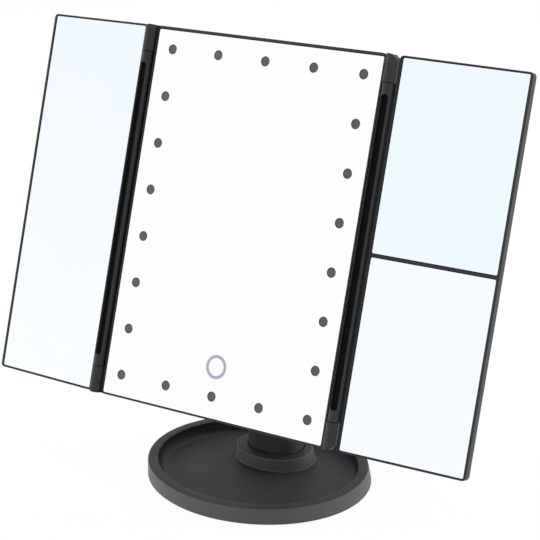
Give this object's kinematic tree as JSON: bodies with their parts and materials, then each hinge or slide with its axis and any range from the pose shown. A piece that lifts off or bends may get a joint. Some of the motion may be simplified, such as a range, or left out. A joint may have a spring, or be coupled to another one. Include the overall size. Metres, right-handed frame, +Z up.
{
  "type": "trifold vanity mirror",
  "caption": "Lighted table mirror that tilts on a neck above an oval tray base, with two folding mirror wings, one of them split into an upper and a lower mirror.",
  "frame": {"origin": "middle of the base's underside, on the table", "axes": "+X along the mirror's width to the right of a person looking into it, +Y from that person towards the back, +Z up"},
  "size_m": [0.3434, 0.1244, 0.2722],
  "materials": {
    "shell": "fine satin grain",
    "inner_black": "plain",
    "carrier_white": "plain",
    "mirror_glass": "polished",
    "lens": "frosted",
    "touch_mark": "frosted",
    "rubber": "matt",
    "steel": "zinc plated",
    "brass": "plain",
    "circuit_board": "solder mask",
    "white_board": "white solder mask",
    "led_body": "cast resin",
    "cell_sleeve": "printed sleeve without text",
    "wire_sleeve": "matt"
  },
  "bodies": {
    "stand": {"base_tray": "shell", "base_cover": "inner_black", "base_screws": "steel", "rubber_pad": "rubber", "foot_screws": "steel", "neck_front": "shell", "neck_back": "shell", "neck_screws": "steel"},
    "head": {"centre_frame": "shell", "mirror_carrier": "carrier_white", "centre_mirror": "mirror_glass", "led_lenses": "lens", "touch_ring": "touch_mark", "touch_sensor": "circuit_board", "led_board": "white_board", "leds": "led_body", "back_housing": "shell", "housing_screws": "steel", "tilt_bracket": "inner_black", "bracket_screws": "steel", "tilt_shaft": "steel", "tilt_nut": "steel", "friction_washers": "brass", "shaft_caps": "shell", "control_board": "circuit_board", "board_screws": "steel", "usb_socket": "steel", "power_switch": "inner_black", "batteries": "cell_sleeve", "battery_springs": "steel", "battery_contacts": "steel", "wires": "wire_sleeve", "hinge_caps": "shell", "left_hinge_pins": "steel", "right_hinge_pins": "steel"},
    "left_wing": {"left_wing_frame": "shell", "left_slot_strip": "inner_black", "left_wing_mirror": "mirror_glass", "left_wing_back": "shell"},
    "right_wing": {"right_wing_frame": "shell", "right_slot_strip": "inner_black", "right_upper_mirror": "mirror_glass", "right_lower_mirror": "mirror_glass", "right_wing_back": "shell"},
    "knob": {"switch_knob": "inner_black"},
    "door": {"battery_door": "shell"}
  },
  "joints": [
    {"name": "head_tilt", "type": "hinge", "parent": "stand", "child": "head", "pos_m": [0, 0.0148, 0.1266], "axis": [-1, 0, 0], "range_deg": [-24.4, 65.6]},
    {"name": "left_wing_hinge", "type": "hinge", "parent": "head", "child": "left_wing", "pos_m": [-0.0866, 0.00168, 0.16593], "axis": [0, 0.4131, 0.9107], "range_deg": [0, 185.5]},
    {"name": "right_wing_hinge", "type": "hinge", "parent": "head", "child": "right_wing", "pos_m": [0.0866, 0.00168, 0.16593], "axis": [0, -0.4131, -0.9107], "range_deg": [0, 185.5]},
    {"name": "switch_slide", "type": "slide", "parent": "head", "child": "knob", "axis": [1, 0, 0], "range_m": [0, 0.003]},
    {"name": "battery_door_turn", "type": "hinge", "parent": "head", "child": "door", "pos_m": [0, 0.02649, 0.17367], "axis": [-1, 0, 0], "range_deg": [0, 95]}
  ]
}
